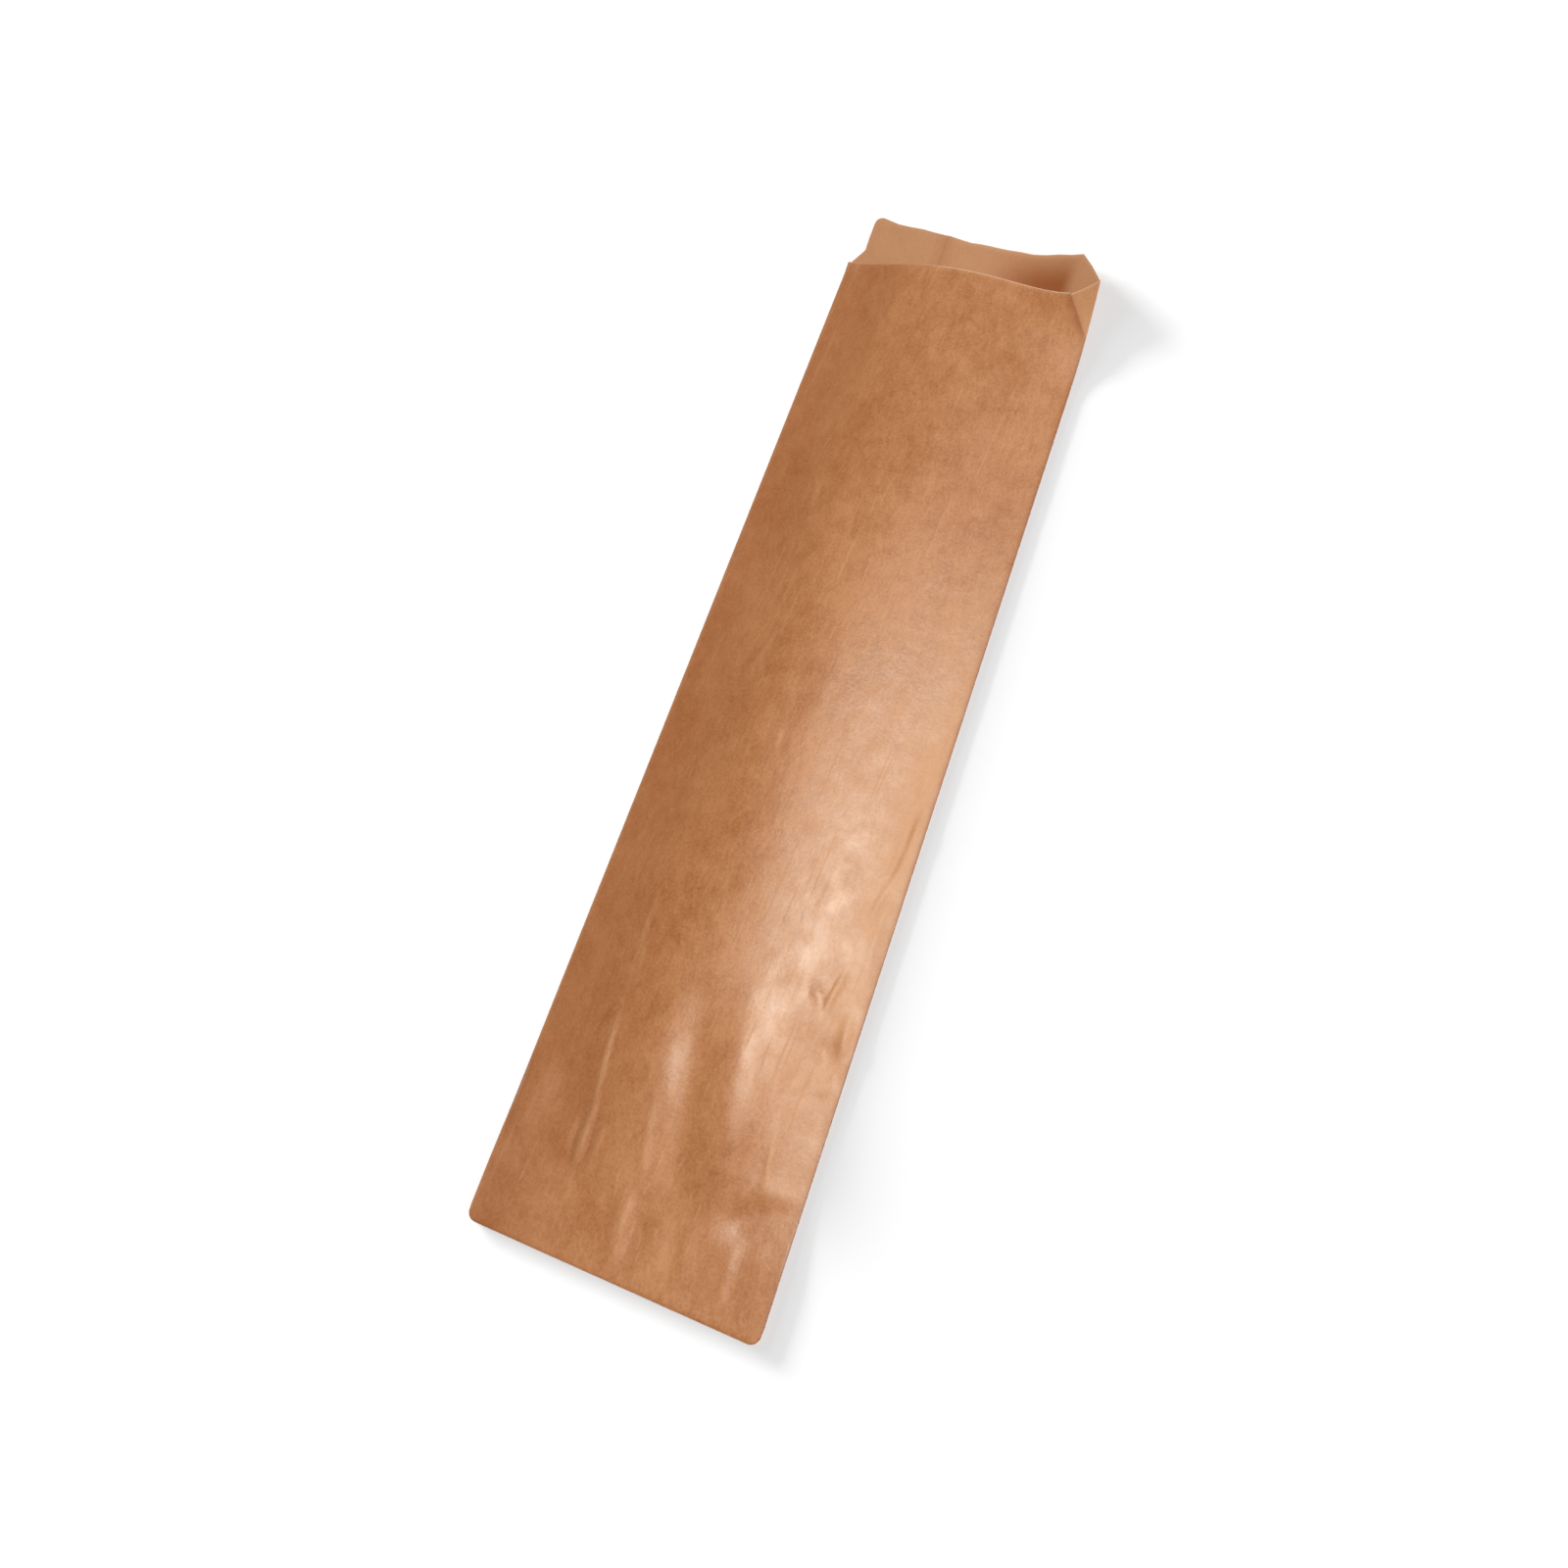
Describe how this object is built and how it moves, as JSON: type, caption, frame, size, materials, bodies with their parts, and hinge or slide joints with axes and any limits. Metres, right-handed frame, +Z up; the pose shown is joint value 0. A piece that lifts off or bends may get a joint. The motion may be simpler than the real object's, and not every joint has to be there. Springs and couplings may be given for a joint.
{
  "type": "cutlery paper bag",
  "caption": "Side-gusseted brown kraft paper bag for a set of cutlery, lying flat, with a longer back lip at its open mouth",
  "frame": {"origin": "on the table under the middle of the bag's outline", "axes": "+Y along the bag towards its open mouth, +X across it, +Z up from the table through the front panel"},
  "size_m": [0.0702, 0.28, 0.0076],
  "materials": {
    "kraft_paper": "machine-glazed brown kraft, soft sheen"
  },
  "bodies": {
    "root": {"paper_bag": "kraft_paper"}
  },
  "joints": []
}
